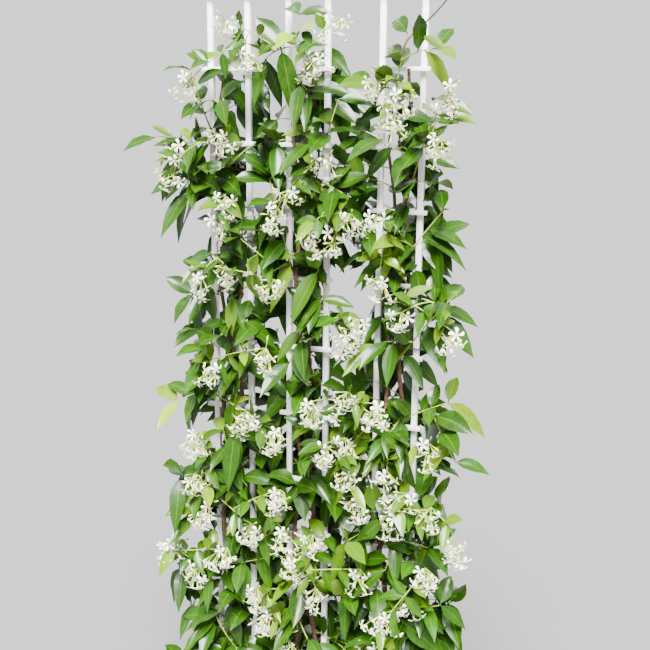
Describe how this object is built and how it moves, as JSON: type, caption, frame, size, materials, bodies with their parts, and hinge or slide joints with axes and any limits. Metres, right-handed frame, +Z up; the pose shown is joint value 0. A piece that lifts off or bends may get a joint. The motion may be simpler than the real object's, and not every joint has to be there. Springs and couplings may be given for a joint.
{
  "type": "potted climbing plant",
  "caption": "Star jasmine with glossy leaves and white pinwheel flowers, grown up narrow white ladder trellises in a terracotta trough.",
  "frame": {"origin": "middle of the trough's foot, on the floor", "axes": "+X along the trough and across the ladders, -Y the flowering front, +Z up"},
  "size_m": [0.703, 0.2927, 1.765],
  "materials": {
    "terracotta": "plain fired clay, matt",
    "compost": "loose bark compost, rough",
    "white_plastic": "satin white moulding",
    "bark": "thin reddish-brown bark",
    "foliage": "waxy green leaves and yellow-green stems",
    "petals": "soft white petals on yellow-green tubes"
  },
  "bodies": {
    "root": {"trough": "terracotta", "soil": "compost", "ladder-left": "white_plastic", "vine-left-1": "bark", "vine-left-2": "bark", "ladder-middle": "white_plastic", "vine-middle-1": "bark", "vine-middle-2": "bark", "ladder-right": "white_plastic", "vine-right-1": "bark", "vine-right-2": "bark", "shoot-left-1": "foliage", "shoot-left-2": "foliage", "shoot-left-3": "foliage", "shoot-left-4": "foliage", "shoot-left-5": "foliage", "shoot-left-6": "foliage", "shoot-left-7": "foliage", "shoot-left-8": "foliage", "shoot-middle-1": "foliage", "shoot-middle-2": "foliage", "shoot-middle-3": "foliage", "shoot-middle-4": "foliage", "shoot-middle-5": "foliage", "shoot-middle-6": "foliage", "shoot-middle-7": "foliage", "shoot-middle-8": "foliage", "shoot-right-1": "foliage", "shoot-right-2": "foliage", "shoot-right-3": "foliage", "shoot-right-4": "foliage", "shoot-right-5": "foliage", "shoot-right-6": "foliage", "shoot-right-7": "foliage", "shoot-right-8": "foliage", "shoot-right-9": "foliage", "blooms-left-1": "petals", "blooms-left-2": "petals", "blooms-left-3": "petals", "blooms-left-4": "petals", "blooms-left-5": "petals", "blooms-left-6": "petals", "blooms-left-7": "petals", "blooms-left-8": "petals", "blooms-left-9": "petals", "blooms-left-10": "petals", "blooms-middle-1": "petals", "blooms-middle-2": "petals", "blooms-middle-3": "petals", "blooms-middle-4": "petals", "blooms-middle-5": "petals", "blooms-middle-6": "petals", "blooms-middle-7": "petals", "blooms-right-1": "petals", "blooms-right-2": "petals", "blooms-right-3": "petals", "blooms-right-4": "petals", "blooms-right-5": "petals", "blooms-right-6": "petals", "blooms-right-7": "petals"}
  },
  "joints": []
}
